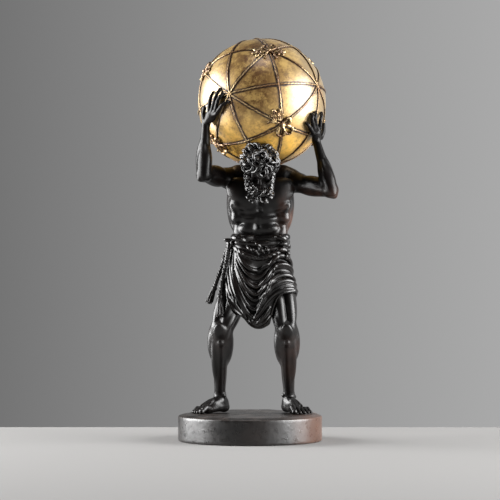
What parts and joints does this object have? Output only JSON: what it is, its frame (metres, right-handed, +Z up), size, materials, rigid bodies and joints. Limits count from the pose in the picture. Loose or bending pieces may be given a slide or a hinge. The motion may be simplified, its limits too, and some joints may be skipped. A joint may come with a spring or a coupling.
{
  "type": "atlas statue",
  "caption": "Cast resin figurine of a bearded man in a draped loincloth who bears a rope-netted globe on his nape and hands, on a round plinth.",
  "frame": {"origin": "centre of the plinth's underside, on the plane it stands on", "axes": "+Z up, -Y towards the side the figure faces, +X towards the figure's left hand"},
  "size_m": [0.128, 0.1209, 0.3231],
  "materials": {
    "plinth": "dark bronze paint on cast resin, satin, brown where it is worn",
    "figure": "near-black bronze paint on cast resin, glossy",
    "globe": "antique gold paint on cast resin, satin, with brown patina in the hollows"
  },
  "bodies": {
    "root": {"plinth": "plinth", "figure": "figure", "globe": "globe"}
  },
  "joints": []
}
